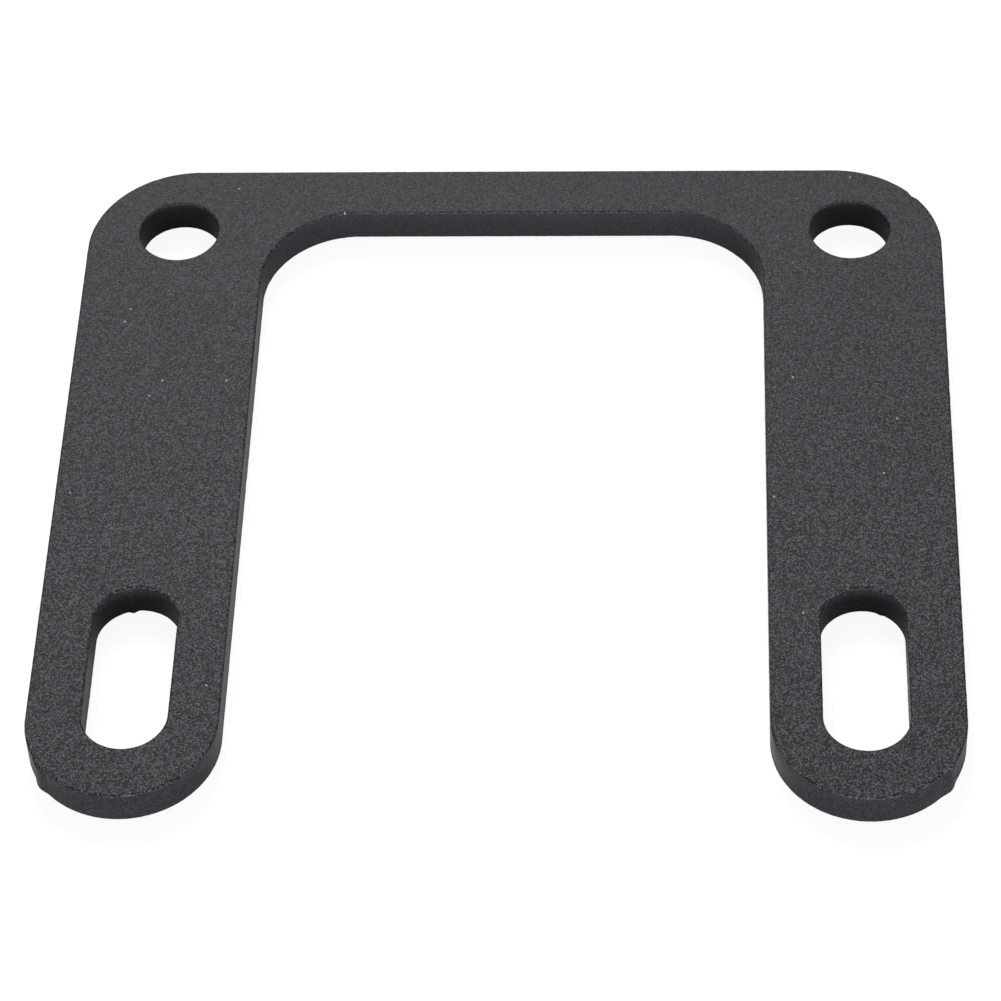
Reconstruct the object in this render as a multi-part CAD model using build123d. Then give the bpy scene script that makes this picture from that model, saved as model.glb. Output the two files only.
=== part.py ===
from build123d import *
import os

# A flat U-shaped motor mounting bracket, laser cut in one piece from steel plate and powder
# coated. The two round holes in its back corners bolt to the frame. The motor's feet bolt
# through the slots near the ends of the legs, which let it slide to tighten its chain or belt,
# and its shaft or housing stands in the gap between the legs.
#
# Millimetres, +Z up. The plate lies flat with its underside on Z = 0. X = 0 is its plane of
# symmetry and Y = 0 is halfway along it: the back bar is at +Y, and the legs reach to -Y.

# The plate and its outline
plate_width = 120.0
plate_length = 112.0
plate_thickness = 5.0
leg_width = 25.0
bar_width = 8.5
back_corner_radius = 15.0
inner_corner_radius = 13.0

# Round holes in the back corners, for M10 bolts: their centres from the plate's edges
hole_diameter = 11.0
hole_from_side = 12.75
hole_from_back = 12.0

# Slots near the ends of the legs, for M10 bolts, with their length along the leg: their
# centres from the plate's side and from the tip of the leg
slot_width = 11.0
slot_length = 26.5
slot_from_side = 12.75
slot_from_tip = 21.0

# A low stub on the outer side of each leg end, left where the plate was held in its sheet. Its
# angle is measured from the X axis, about the centre of the leg's round end
stub_length = 3.0
stub_height = 0.35
stub_angle = 36.0

# The sharp edges are broken all round before coating
edge_break = 0.25

back_y = plate_length / 2
tip_y = -back_y
leg_x = (plate_width - leg_width) / 2
end_centre_y = tip_y + leg_width / 2
gap_half_width = plate_width / 2 - leg_width
gap_end_y = back_y - bar_width
hole_centre = (plate_width / 2 - hole_from_side, back_y - hole_from_back)
slot_centre = (plate_width / 2 - slot_from_side, tip_y + slot_from_tip)
edge_cut = min(edge_break, 0.4 * plate_thickness)


def both_sides(place):
    """A place on the right and its mirror image on the left."""
    x, y = place
    return [(x, y), (-x, y)]


def leg():
    """The right leg's flat shape, as long as the plate, with its tip a full half circle."""
    with BuildSketch() as shape:
        with Locations((leg_x, back_y)):
            Rectangle(leg_width, back_y - end_centre_y, align=(Align.CENTER, Align.MAX))
        with Locations((leg_x, end_centre_y)):
            Circle(leg_width / 2)
    return shape.sketch


def outline():
    """The plate's flat outline: two legs joined by the bar, with round corners in and out."""
    with BuildSketch() as shape:
        add(leg())
        mirror(leg(), about=Plane.YZ)
        with Locations((0, back_y)):
            Rectangle(plate_width, bar_width, align=(Align.CENTER, Align.MAX))
        outer_corners = shape.vertices().group_by(Axis.Y)[-1]
        fillet(outer_corners, back_corner_radius)
        inner_corners = [
            shape.vertices().sort_by_distance((side * gap_half_width, gap_end_y))[0] for side in (1, -1)
        ]
        fillet(inner_corners, inner_corner_radius)
    return shape.sketch


def stub():
    """The right leg's stub, rooted in the middle of the wall beside the slot."""
    root = (leg_width + slot_width) / 4
    reach = leg_width / 2 + stub_height - root
    end_centre = Location((leg_x, end_centre_y, plate_thickness / 2), (0, 0, -stub_angle))
    with BuildPart(end_centre) as shape:
        with Locations((root, 0, 0)):
            Box(
                reach,
                stub_length,
                plate_thickness - 2 * edge_cut,
                align=(Align.MIN, Align.CENTER, Align.CENTER),
            )
    return shape.part


with BuildPart() as bracket:
    with BuildSketch():
        add(outline())
        with Locations(*both_sides(hole_centre)):
            Circle(hole_diameter / 2, mode=Mode.SUBTRACT)
        with Locations(*both_sides(slot_centre)):
            SlotOverall(slot_length, slot_width, rotation=90, mode=Mode.SUBTRACT)
    extrude(amount=plate_thickness)
    rims = bracket.faces().filter_by(Axis.Z).edges()
    chamfer(rims, edge_cut)
    add(stub())
    mirror(stub(), about=Plane.YZ)

bracket.part.label = "bracket_plate"
os.makedirs("parts", exist_ok=True)
export_step(bracket.part, "parts/bracket_plate.step")
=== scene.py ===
import math

import bmesh
import bpy
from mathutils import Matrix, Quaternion, Vector, noise


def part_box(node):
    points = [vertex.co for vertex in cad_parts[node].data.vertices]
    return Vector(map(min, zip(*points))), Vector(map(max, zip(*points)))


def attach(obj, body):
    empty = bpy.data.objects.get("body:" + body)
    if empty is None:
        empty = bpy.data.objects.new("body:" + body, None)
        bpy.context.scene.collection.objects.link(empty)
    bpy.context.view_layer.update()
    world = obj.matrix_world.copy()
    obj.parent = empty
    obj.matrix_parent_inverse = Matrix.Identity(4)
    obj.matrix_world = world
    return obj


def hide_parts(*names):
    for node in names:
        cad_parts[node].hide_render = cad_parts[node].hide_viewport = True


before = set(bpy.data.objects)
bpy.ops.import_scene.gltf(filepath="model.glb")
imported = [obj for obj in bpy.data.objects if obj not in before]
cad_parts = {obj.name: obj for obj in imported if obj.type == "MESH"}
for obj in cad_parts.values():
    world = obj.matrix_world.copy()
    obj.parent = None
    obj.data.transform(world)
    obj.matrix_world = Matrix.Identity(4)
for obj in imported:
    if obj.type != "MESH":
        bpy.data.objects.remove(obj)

bl_info = {
    "name": "Motor Mounting Bracket",
    "version": (1, 0, 0),
    "blender": (4, 5, 0),
    "location": "3D View > Sidebar > Bracket",
    "description": "A flat U-shaped motor mounting bracket in textured powder coat, on a pale stage",
    "category": "Object",
}

MM = 0.001
WHITE = (1.0, 1.0, 1.0, 1.0)

# How far a face's normal leans up: less is a cut wall, more is a rim or a flat face.
WALL_SLOPE, FACE_SLOPE = 0.02, 0.3
# The middle lightness of all grains, clumping included.
MIDDLE_GRAIN = 0.36

LOW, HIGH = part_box("bracket_plate")
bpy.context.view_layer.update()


def linear(hex_colour):
    """An sRGB hex colour as linear RGBA."""
    channels = [int(hex_colour[i:i + 2], 16) / 255 for i in (0, 2, 4)]
    return tuple(c / 12.92 if c <= 0.04045 else ((c + 0.055) / 1.055) ** 2.4 for c in channels) + (1.0,)


def length(name, description, millimetres):
    """A size in metres that the sidebar shows as a length."""
    return bpy.props.FloatProperty(
        name=name, description=description, default=millimetres * MM, min=0.0, precision=4,
        subtype="DISTANCE", unit="LENGTH")


def share(name, description, default):
    """A plain number from 0 to 1."""
    return bpy.props.FloatProperty(name=name, description=description, default=default, min=0.0, max=1.0)


def colour(name, description, hex_colour):
    """A colour, written as sRGB hex."""
    return bpy.props.FloatVectorProperty(
        name=name, description=description, default=linear(hex_colour), size=4, min=0.0, max=1.0,
        subtype="COLOR")


def power(name, description, watts):
    """A lamp's power in watts."""
    return bpy.props.FloatProperty(
        name=name, description=description, default=watts, min=0.0, subtype="POWER", unit="POWER")


def place(name, description, point):
    """A point in metres."""
    return bpy.props.FloatVectorProperty(
        name=name, description=description, default=point, size=3, subtype="TRANSLATION", unit="LENGTH")


class BracketSizes(bpy.types.PropertyGroup):
    """The plate's own sizes, in the same frame as the solids."""

    plate_width: length("Plate width", "Across the two legs", (HIGH.x - LOW.x) / MM)
    plate_length: length("Plate length", "From the leg tips to the back edge", (HIGH.y - LOW.y) / MM)
    plate_thickness: length("Plate thickness", "Of the coated steel", (HIGH.z - LOW.z) / MM)
    leg_width: length("Leg width", "Across each leg", 25.0)
    bar_width: length("Bar width", "Of the back bar, at its middle", 8.5)
    back_corner_radius: length("Back corner radius", "Of the two outer corners", 15.0)
    inner_corner_radius: length("Inner corner radius", "Of the two corners of the gap", 13.0)
    hole_diameter: length("Hole diameter", "Of the frame bolt holes", 11.0)
    hole_from_side: length("Hole from side", "Hole centre to the plate's side", 12.75)
    hole_from_back: length("Hole from back", "Hole centre to the back edge", 12.0)
    slot_width: length("Slot width", "Of the motor bolt slots", 11.0)
    slot_length: length("Slot length", "Overall, round ends included", 26.5)
    slot_from_side: length("Slot from side", "Slot centre line to the plate's side", 12.75)
    slot_from_tip: length("Slot from tip", "Slot centre to the leg's tip", 21.0)
    rim_radius: length("Rim radius", "Rounding that the coat leaves on each cut rim", 0.3)
    rim_step: length("Rim step", "Spacing of the points along the cut edges", 0.25)
    rim_wander: length("Rim wander", "Depth of the unevenness along the cut edges", 0.08)
    stub_length: length("Stub length", "Of the cut tab's stub on each leg end", 3.0)
    stub_height: length("Stub height", "Of the same stub", 0.35)
    stub_angle: bpy.props.FloatProperty(
        name="Stub angle", description="Place of the stub, below the leg end's sideways direction",
        default=math.radians(36.0), subtype="ANGLE", unit="ROTATION")


class CoatFinish(bpy.types.PropertyGroup):
    """The powder coat's colours and texture."""

    dark_grain: colour("Dark grains", "Of the darkest grains of the powder", "050508")
    light_grain: colour("Light grains", "Of the lightest grains of the powder", "6E6E75")
    cool_tint: colour("Cool tint", "That some grains lean to", "E2EAFF")
    warm_tint: colour("Warm tint", "That the other grains lean to", "FFFCE8")
    # Painted glints: the light grey that a few grains are painted, as though they caught the light.
    painted_glint_colour: colour("Speck colour", "Of the few grains that catch the light", "A8A8AC")
    grain: length("Grain", "Width of one grain as drawn", 0.2)
    relief: length("Relief", "Height of the grain", 0.06)
    # Spacing of the painted glints.
    glint_spacing: length("Speck spacing", "Between the grains that catch the light", 4.5)
    relief_strength: share("Relief strength", "How much the grain turns the light", 0.5)
    contrast: share("Contrast", "Between dark and light grains, on the legs", 1.0)
    back_contrast: share("Back contrast", "Between dark and light grains, at the back edge", 0.45)
    clumping: share("Clumping", "How much like grains lie together", 0.12)
    average: share("Average", "Between all dark grains and all light ones", 0.165)
    mottle: share("Mottle", "Of broad cloudy patches", 0.04)
    mottle_size: length("Mottle size", "Width of one such patch", 9.0)
    wall_texture: share("Wall texture", "Of the cut walls, beside that of the flat faces", 0.2)
    roughness: share("Roughness", "Of the cured powder", 0.6)
    wall_roughness: share("Wall roughness", "Of the cut walls' smoother coat", 0.26)
    specular: share("Specular level", "Of the cured powder", 0.25)


class StudioSettings(bpy.types.PropertyGroup):
    """The stage, the lamps and the camera."""

    floor_colour: colour("Floor colour", "Of the pale floor", "C8C8C8")
    floor_shade: colour("Floor shade", "What the camera loses in a shadow", "6F6F6F")
    floor_glow: share("Floor glow", "What the camera sees in the deepest shadow", 0.9)
    floor_size: length("Floor size", "Side of the square floor", 4000.0)
    sky_strength: bpy.props.FloatProperty(
        name="Sky strength", description="Of the soft light from all round", default=0.5, min=0.0)
    key_power: power("Key power", "Of the large lamp behind the bracket", 12.2)
    key_size: length("Key size", "Across the same lamp", 600.0)
    key_place: place("Key place", "Where the same lamp hangs", (-0.17, 1.0, 0.95))
    front_power: power("Front power", "Of the low lamp in front of the bracket", 14.5)
    front_size: length("Front size", "Across the same lamp", 110.0)
    front_place: place("Front place", "Where the same lamp stands", (0.1, -1.3, 0.055))
    camera_lens: bpy.props.FloatProperty(
        name="Lens", description="Focal length in millimetres", default=149.691, min=1.0)
    camera_azimuth: bpy.props.FloatProperty(
        name="Azimuth", description="Turn round the bracket from the front",
        default=math.radians(4.033), subtype="ANGLE", unit="ROTATION")
    camera_elevation: bpy.props.FloatProperty(
        name="Elevation", description="Above the floor",
        default=math.radians(48.707), subtype="ANGLE", unit="ROTATION")
    camera_roll: bpy.props.FloatProperty(
        name="Roll", description="Turn about the line of sight",
        default=math.radians(-3.049), subtype="ANGLE", unit="ROTATION")
    camera_distance: length("Distance", "From the camera to what it looks at", 559.294)
    camera_target: place("Target", "The point that the camera looks at", (-0.593 * MM, -2.243 * MM, 0.0))


# ---------------------------------------------------------------- materials

def add_node(tree, kind, settings=None, **links):
    """Adds a node with its settings. A link is a socket of another node, or a plain value.

    Its name is the input's name with underscores for spaces, or i and the input's number.
    """
    node = tree.nodes.new(kind)
    for name, value in (settings or {}).items():
        setattr(node, name, value)
    for name, value in links.items():
        numbered = name[0] == "i" and name[1:].isdigit()
        socket = node.inputs[int(name[1:]) if numbered else name.replace("_", " ")]
        if isinstance(value, bpy.types.NodeSocket):
            tree.links.new(value, socket)
        else:
            socket.default_value = value
    return node


def textured_powder_coat(finish):
    """Textured matt black powder coat on laser-cut steel, sprayed dry and baked.

    Its grains flow only partly together, so the eye gets a dense salt-and-pepper of dark and
    lighter grains with no gloss, a few painted glints (grains painted light grey as though they caught the
    light), and smoother skin on the cut walls.
    """
    material = bpy.data.materials.new("textured_powder_coat")
    material.use_nodes = True
    tree = material.node_tree
    tree.nodes.clear()
    spot = add_node(tree, "ShaderNodeTexCoord").outputs["Object"]

    # Real grains are 0.05 to 0.1 mm wide. They are drawn at the finish's grain size, so they show.
    cells = add_node(tree, "ShaderNodeTexVoronoi", {"voronoi_dimensions": "3D", "feature": "F1"},
                     Vector=spot, Scale=1.0 / finish.grain, Randomness=1.0)
    shade = add_node(tree, "ShaderNodeSeparateColor", Color=cells.outputs["Color"])
    clumps = add_node(tree, "ShaderNodeTexNoise", {"noise_dimensions": "3D"}, Vector=spot,
                      Scale=0.4 / finish.grain, Detail=2.0, Roughness=0.6)
    mottle = add_node(tree, "ShaderNodeTexNoise", {"noise_dimensions": "3D"}, Vector=spot,
                      Scale=1.0 / finish.mottle_size, Detail=2.0, Roughness=0.5)

    # The cut walls face sideways and take a thinner, smoother coat.
    facing = add_node(tree, "ShaderNodeSeparateXYZ",
                      Vector=add_node(tree, "ShaderNodeNewGeometry").outputs["True Normal"])
    flat = add_node(tree, "ShaderNodeMath", {"operation": "ABSOLUTE"}, i0=facing.outputs["Z"])
    rough = add_node(tree, "ShaderNodeMapRange", Value=flat.outputs[0], From_Min=WALL_SLOPE,
                     From_Max=FACE_SLOPE, To_Min=finish.wall_texture, To_Max=1.0)

    # Each grain has its own lightness. On top of it, painted shade darkens the grain towards its seams and
    # painted light brightens its crown. They clump a little.
    painted_seam_shade = add_node(tree, "ShaderNodeMapRange", Value=cells.outputs["Distance"], From_Min=0.15,
                     From_Max=0.75, To_Min=1.3, To_Max=0.3)
    light = add_node(tree, "ShaderNodeMath", {"operation": "MULTIPLY"}, i0=shade.outputs["Red"],
                     i1=painted_seam_shade.outputs[0])
    grit = add_node(tree, "ShaderNodeMath", {"operation": "MULTIPLY_ADD"}, i0=clumps.outputs[0],
                    i1=finish.clumping, i2=-MIDDLE_GRAIN)
    grit = add_node(tree, "ShaderNodeMath", {"operation": "ADD"}, i0=grit.outputs[0], i1=light.outputs[0])
    grit = add_node(tree, "ShaderNodeMath", {"operation": "MULTIPLY"}, i0=grit.outputs[0],
                    i1=rough.outputs[0])
    along = add_node(tree, "ShaderNodeSeparateXYZ", Vector=spot)
    build = add_node(tree, "ShaderNodeMapRange", Value=along.outputs["Y"], From_Min=HIGH.y,
                     From_Max=LOW.y * 0.2, To_Min=finish.back_contrast, To_Max=finish.contrast)
    patch = add_node(tree, "ShaderNodeMath", {"operation": "MULTIPLY_ADD"}, i0=mottle.outputs[0],
                     i1=finish.mottle, i2=finish.average - 0.5 * finish.mottle)
    tone = add_node(tree, "ShaderNodeMath", {"operation": "MULTIPLY_ADD", "use_clamp": True},
                    i0=grit.outputs[0], i1=build.outputs[0], i2=patch.outputs[0])
    pigment = add_node(tree, "ShaderNodeMix", {"data_type": "RGBA"}, i0=tone.outputs[0],
                      i6=finish.dark_grain, i7=finish.light_grain)

    # Some grains lean to blue-grey and some to green-grey.
    tint = add_node(tree, "ShaderNodeMix", {"data_type": "RGBA"}, i0=shade.outputs["Green"],
                    i6=finish.cool_tint, i7=finish.warm_tint)
    pigment = add_node(tree, "ShaderNodeMix", {"data_type": "RGBA", "blend_type": "MULTIPLY"}, i0=1.0,
                      i6=pigment.outputs[2], i7=tint.outputs[2])

    # Painted glints: a few grains, one in each patch some millimetres wide, are painted light grey in the
    # base colour, as though they stood up and caught the light.
    glint_cells = add_node(tree, "ShaderNodeTexVoronoi", {"voronoi_dimensions": "3D", "feature": "F1"},
                      Vector=spot, Scale=1.0 / finish.glint_spacing, Randomness=1.0)
    painted_glint = add_node(tree, "ShaderNodeMapRange", Value=glint_cells.outputs["Distance"],
                     From_Min=0.5 * finish.grain / finish.glint_spacing,
                     From_Max=1.0 * finish.grain / finish.glint_spacing, To_Min=1.0, To_Max=0.0)
    painted_glint_on = add_node(tree, "ShaderNodeMath", {"operation": "MULTIPLY"}, i0=painted_glint.outputs[0],
                        i1=rough.outputs[0])
    pigment = add_node(tree, "ShaderNodeMix", {"data_type": "RGBA"}, i0=painted_glint_on.outputs[0],
                      i6=pigment.outputs[2], i7=finish.painted_glint_colour)

    height = add_node(tree, "ShaderNodeMath", {"operation": "SUBTRACT"}, i0=clumps.outputs[0],
                      i1=cells.outputs["Distance"])
    height = add_node(tree, "ShaderNodeMath", {"operation": "MULTIPLY"}, i0=height.outputs[0],
                      i1=rough.outputs[0])
    bump = add_node(tree, "ShaderNodeBump", Height=height.outputs[0], Strength=finish.relief_strength,
                    Distance=finish.relief)
    sheen = add_node(tree, "ShaderNodeMapRange", Value=flat.outputs[0], From_Min=WALL_SLOPE,
                     From_Max=FACE_SLOPE, To_Min=finish.wall_roughness, To_Max=finish.roughness)
    skin = add_node(tree, "ShaderNodeBsdfPrincipled", Base_Color=pigment.outputs[2],
                    Roughness=sheen.outputs[0], IOR=1.5, Normal=bump.outputs[0])
    skin.inputs["Specular IOR Level"].default_value = finish.specular
    add_node(tree, "ShaderNodeOutputMaterial", Surface=skin.outputs[0])
    return material


def stage_floor(studio):
    """Seamless white paper. It is white where the camera looks past the bracket, and keeps a soft shadow."""
    material = bpy.data.materials.new("white_backdrop_paper")
    material.use_nodes = True
    tree = material.node_tree
    tree.nodes.clear()
    paper = add_node(tree, "ShaderNodeBsdfDiffuse", Color=studio.floor_colour)
    faint = add_node(tree, "ShaderNodeBsdfDiffuse", Color=studio.floor_shade)
    glow = add_node(tree, "ShaderNodeEmission", Color=WHITE, Strength=studio.floor_glow)
    seen = add_node(tree, "ShaderNodeAddShader", i0=faint.outputs[0], i1=glow.outputs[0])
    path = add_node(tree, "ShaderNodeLightPath")
    mix = add_node(tree, "ShaderNodeMixShader", i0=path.outputs["Is Camera Ray"],
                   i1=paper.outputs[0], i2=seen.outputs[0])
    add_node(tree, "ShaderNodeOutputMaterial", Surface=mix.outputs[0])
    return material


def soft_lamp(scene, name, spot, size, watts):
    """A round soft lamp turned to the bracket."""
    lamp = bpy.data.lights.new(name, "AREA")
    lamp.energy, lamp.shape, lamp.size = watts, "DISK", size
    holder = bpy.data.objects.new(name, lamp)
    holder.location = spot
    holder.rotation_mode = "QUATERNION"
    holder.rotation_quaternion = (-Vector(spot)).to_track_quat("-Z", "Y")
    scene.collection.objects.link(holder)


def soft_sky(studio):
    """An even pale sky, white where the camera sees it."""
    sky = bpy.data.worlds.new("sky")
    sky.use_nodes = True
    tree = sky.node_tree
    tree.nodes.clear()
    path = add_node(tree, "ShaderNodeLightPath")
    soft = add_node(tree, "ShaderNodeBackground", Color=WHITE, Strength=studio.sky_strength)
    white = add_node(tree, "ShaderNodeBackground", Color=WHITE, Strength=1.0)
    mix = add_node(tree, "ShaderNodeMixShader", i0=path.outputs["Is Camera Ray"],
                   i1=soft.outputs[0], i2=white.outputs[0])
    add_node(tree, "ShaderNodeOutputWorld", Surface=mix.outputs[0])
    return sky


def aimed_camera(studio):
    """The camera, turned to its target from its azimuth and elevation, and rolled."""
    lens = bpy.data.cameras.new("camera")
    lens.sensor_width, lens.lens = 36.0, studio.camera_lens
    lens.clip_start, lens.clip_end = 0.01, 20.0
    camera = bpy.data.objects.new("camera", lens)
    azimuth, elevation = studio.camera_azimuth, studio.camera_elevation
    back = Vector((math.sin(azimuth) * math.cos(elevation), -math.cos(azimuth) * math.cos(elevation),
                   math.sin(elevation)))
    camera.location = Vector(studio.camera_target) + back * studio.camera_distance
    camera.rotation_mode = "QUATERNION"
    camera.rotation_quaternion = ((-back).to_track_quat("-Z", "Y")
                                  @ Quaternion((0, 0, 1), studio.camera_roll))
    return camera


# ---------------------------------------------------------------- the plate's mesh

def rounded_corner(shape, corner, radius, step):
    """Rounds one corner of a flat outline."""
    segments = max(8, round(radius * math.pi / 2 / step))
    bmesh.ops.bevel(shape, geom=[corner], offset=radius, offset_type="OFFSET", segments=segments,
                    profile=0.5, affect="VERTICES", material=-1)


def corner_at(shape, x, y):
    """The outline's corner nearest to a point."""
    return min(shape.verts, key=lambda v: (v.co.xy - Vector((x, y))).length)


def divide_long_edges(shape, step):
    """Divides each long straight edge to the rim's spacing."""
    for edge in list(shape.edges):
        cuts = round(edge.calc_length() / step) - 1
        if cuts > 0:
            bmesh.ops.subdivide_edges(shape, edges=[edge], cuts=cuts)


def plate_outline(shape, sizes):
    """The U of the plate, cut from one corner polygon with each corner rounded."""
    half, back, tip = sizes.plate_width / 2, HIGH.y, HIGH.y - sizes.plate_length
    inner, gap_end, step = half - sizes.leg_width, back - sizes.bar_width, sizes.rim_step
    corners = [(-half, back), (half, back), (half, tip), (inner, tip), (inner, gap_end),
               (-inner, gap_end), (-inner, tip), (-half, tip)]
    shape.faces.new([shape.verts.new((x, y, HIGH.z)) for x, y in corners])
    # A leg's two corners all but meet, and the points between them are merged into one round end.
    radii = {back: sizes.back_corner_radius, gap_end: sizes.inner_corner_radius,
             tip: sizes.leg_width / 2 * 0.9999}
    for x, y in corners:
        rounded_corner(shape, corner_at(shape, x, y), radii[y], step)
    bmesh.ops.remove_doubles(shape, verts=shape.verts, dist=0.01 * MM)
    divide_long_edges(shape, step)


def opening(shape, x, y, width, overall, step):
    """A round hole, or a slot where it is longer than wide, as a closed loop of edges."""
    count = 2 * round(math.pi * width / step / 2)
    ring = bmesh.ops.create_circle(shape, cap_ends=False, segments=count, radius=width / 2)["verts"]
    half_turn = Quaternion((0, 0, 1), math.pi / count).to_matrix()
    bmesh.ops.rotate(shape, verts=ring, cent=(0, 0, 0), matrix=half_turn)
    reach = (overall - width) / 2
    for side in (1, -1):
        bmesh.ops.translate(shape, verts=[v for v in ring if v.co.y * side > 0], vec=(0, side * reach, 0))
    bmesh.ops.translate(shape, verts=ring, vec=(x, y, HIGH.z))


def nudge(verts, centre, reach, move, through=False):
    """Moves the points round a place, with a smooth fall-off. Through moves the whole thickness alike."""
    for v in verts:
        apart = v.co - Vector(centre)
        near = 1 - (apart.xy.length if through else apart.length) / reach
        if near > 0:
            v.co += Vector(move) * (near * near * (3 - 2 * near))


def mark(verts, centre, reach, move, through=False):
    """A nudge given in millimetres."""
    nudge(verts, Vector(centre) * MM, reach * MM, Vector(move) * MM, through)


def uneven_rims(shape, depth):
    """Lets the coat wander by a hair along the cut edges, never past the true outline."""
    shape.normal_update()
    moves = []
    for v in shape.verts:
        if v.normal.xy.length > 0.02:
            fine = noise.noise(v.co / (0.45 * MM)) * 0.6 + noise.noise(v.co / (1.6 * MM)) * 0.4
            moves.append((v, v.normal.xy.normalized() * depth * (fine - 1) / 2))
    for v, move in moves:
        v.co.xy += move


def cutting_marks(shape, sizes):
    """The cut tab's stub on each leg end, and the small burrs and nicks left by the cutter."""
    end_x, end_y = sizes.plate_width / 2 - sizes.leg_width / 2, LOW.y + sizes.leg_width / 2
    for side in (-1, 1):
        out = Vector((side * math.cos(sizes.stub_angle), -math.sin(sizes.stub_angle), 0))
        place = Vector((side * end_x, end_y, 0)) + out * sizes.leg_width / 2
        nudge(shape.verts, place, sizes.stub_length * 0.62, out * sizes.stub_height, through=True)
        nudge(shape.verts, place + Vector((-side * 0.8, -1.0, 5)) * MM, 0.8 * MM,
              Vector((-side * 0.35, 0.3, 0)) * MM)
    # A nick on a back corner, a burr on a leg's inner side, and one under each slot's far end.
    mark(shape.verts, (56.29, 50.91, 2.5), 1.2, (-0.17, -0.17, 0), through=True)
    mark(shape.verts, (-34.2, -41.3, 2.5), 0.8, (0.3, 0, 0))
    mark(shape.verts, (-48.36, -21.76, 0), 0.8, (0.1, -0.35, 0))
    mark(shape.verts, (49.38, -22.66, 0), 0.9, (0, -0.35, 0))


def is_rim(edge):
    """True for an edge between a flat face and the cut wall."""
    return len(edge.link_faces) == 2 and 0.5 < sum(abs(f.normal.z) for f in edge.link_faces) < 1.5


def coated_plate_mesh(sizes):
    """The plate as one closed mesh."""
    shape = bmesh.new()
    plate_outline(shape, sizes)
    bmesh.ops.delete(shape, geom=shape.faces[:], context="FACES_ONLY")
    hole_x = sizes.plate_width / 2 - sizes.hole_from_side
    slot_x = sizes.plate_width / 2 - sizes.slot_from_side
    for side in (-1, 1):
        opening(shape, side * hole_x, HIGH.y - sizes.hole_from_back, sizes.hole_diameter,
                sizes.hole_diameter, sizes.rim_step)
        opening(shape, side * slot_x, LOW.y + sizes.slot_from_tip, sizes.slot_width,
                sizes.slot_length, sizes.rim_step)
    divide_long_edges(shape, sizes.rim_step)
    bmesh.ops.triangle_fill(shape, use_beauty=True, use_dissolve=False, edges=shape.edges[:])
    bmesh.ops.recalc_face_normals(shape, faces=shape.faces[:])
    top = shape.faces[:]
    lower = bmesh.ops.extrude_face_region(shape, geom=top, use_keep_orig=True)["geom"]
    bmesh.ops.translate(shape, verts=[v for v in lower if isinstance(v, bmesh.types.BMVert)],
                        vec=(0, 0, -sizes.plate_thickness))
    bmesh.ops.recalc_face_normals(shape, faces=shape.faces[:])
    rims = [e for e in shape.edges if is_rim(e)]
    bmesh.ops.bevel(shape, geom=rims, offset=sizes.rim_radius, offset_type="OFFSET", segments=3,
                    profile=0.5, affect="EDGES", material=-1, clamp_overlap=True)
    uneven_rims(shape, sizes.rim_wander)
    cutting_marks(shape, sizes)
    for face in shape.faces:
        face.smooth = abs(face.normal.z) < 0.9999
    return shape


class BRACKET_OT_coated_plate(bpy.types.Operator):
    """Adds the coated plate with its rounded rims, cut-tab stubs and powder-coat texture"""

    bl_idname = "bracket.coated_plate"
    bl_label = "Coated Plate"

    def execute(self, context):
        sizes = context.scene.bracket_sizes
        shape = coated_plate_mesh(sizes)
        loose = [e for e in shape.edges if len(e.link_faces) != 2]
        if loose:
            raise RuntimeError(f"the plate's mesh has {len(loose)} open edges")
        mesh = bpy.data.meshes.new("coated_plate")
        shape.to_mesh(mesh)
        shape.free()
        plate = bpy.data.objects.new("coated_plate", mesh)
        context.scene.collection.objects.link(plate)
        mesh.materials.append(textured_powder_coat(context.scene.bracket_finish))
        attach(plate, "root")
        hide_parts("bracket_plate")
        return {"FINISHED"}


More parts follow.
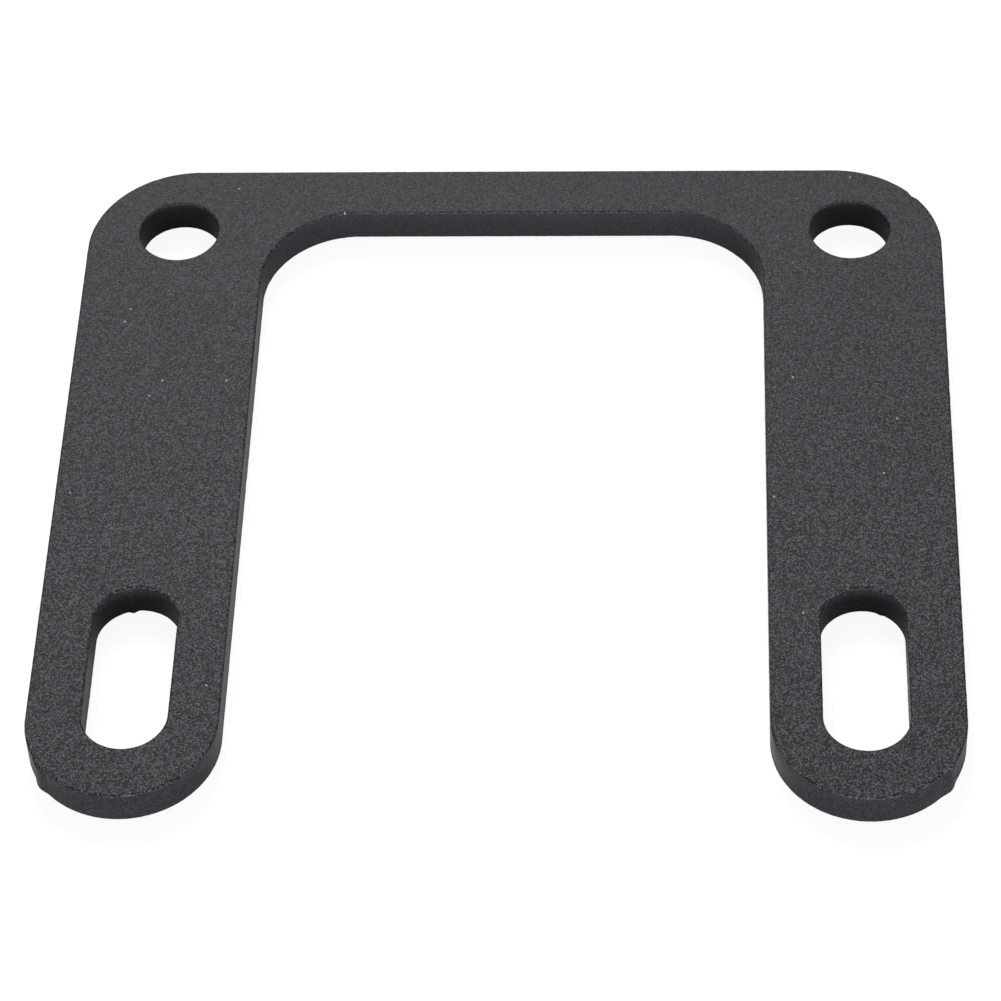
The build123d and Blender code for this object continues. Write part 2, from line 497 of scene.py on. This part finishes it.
class BRACKET_OT_stage(bpy.types.Operator):
    """Adds the pale floor, the soft lamps, the sky and the camera"""

    bl_idname = "bracket.stage"
    bl_label = "Stage"

    def execute(self, context):
        scene, studio = context.scene, context.scene.bracket_studio
        sheet = bmesh.new()
        bmesh.ops.create_grid(sheet, x_segments=1, y_segments=1, size=studio.floor_size / 2)
        bmesh.ops.translate(sheet, verts=sheet.verts[:], vec=(0, 0, LOW.z))
        mesh = bpy.data.meshes.new("floor")
        sheet.to_mesh(mesh)
        sheet.free()
        floor = bpy.data.objects.new("floor", mesh)
        mesh.materials.append(stage_floor(studio))
        scene.collection.objects.link(floor)

        scene.world = soft_sky(studio)
        soft_lamp(scene, "key_lamp", studio.key_place, studio.key_size, studio.key_power)
        soft_lamp(scene, "front_lamp", studio.front_place, studio.front_size, studio.front_power)

        camera = aimed_camera(studio)
        scene.collection.objects.link(camera)
        scene.camera = camera
        scene.view_settings.view_transform = "Standard"
        return {"FINISHED"}


class BRACKET_PT_sidebar(bpy.types.Panel):
    """Lists the bracket's operators and sizes"""

    bl_idname = "BRACKET_PT_sidebar"
    bl_label = "Motor Bracket"
    bl_space_type = "VIEW_3D"
    bl_region_type = "UI"
    bl_category = "Bracket"

    def draw(self, context):
        for group in (context.scene.bracket_sizes, context.scene.bracket_finish,
                      context.scene.bracket_studio):
            box = self.layout.box()
            for name in group.__annotations__:
                box.prop(group, name)
        self.layout.operator(BRACKET_OT_coated_plate.bl_idname)
        self.layout.operator(BRACKET_OT_stage.bl_idname)


CLASSES = (BracketSizes, CoatFinish, StudioSettings, BRACKET_OT_coated_plate, BRACKET_OT_stage,
           BRACKET_PT_sidebar)


def register():
    for cls in CLASSES:
        bpy.utils.register_class(cls)
    bpy.types.Scene.bracket_sizes = bpy.props.PointerProperty(type=BracketSizes)
    bpy.types.Scene.bracket_finish = bpy.props.PointerProperty(type=CoatFinish)
    bpy.types.Scene.bracket_studio = bpy.props.PointerProperty(type=StudioSettings)


def unregister():
    del bpy.types.Scene.bracket_studio
    del bpy.types.Scene.bracket_finish
    del bpy.types.Scene.bracket_sizes
    for cls in reversed(CLASSES):
        bpy.utils.unregister_class(cls)


def main():
    """Makes the bracket and its stage."""
    register()
    bpy.ops.bracket.coated_plate()
    bpy.ops.bracket.stage()


if __name__ == "__main__":
    main()
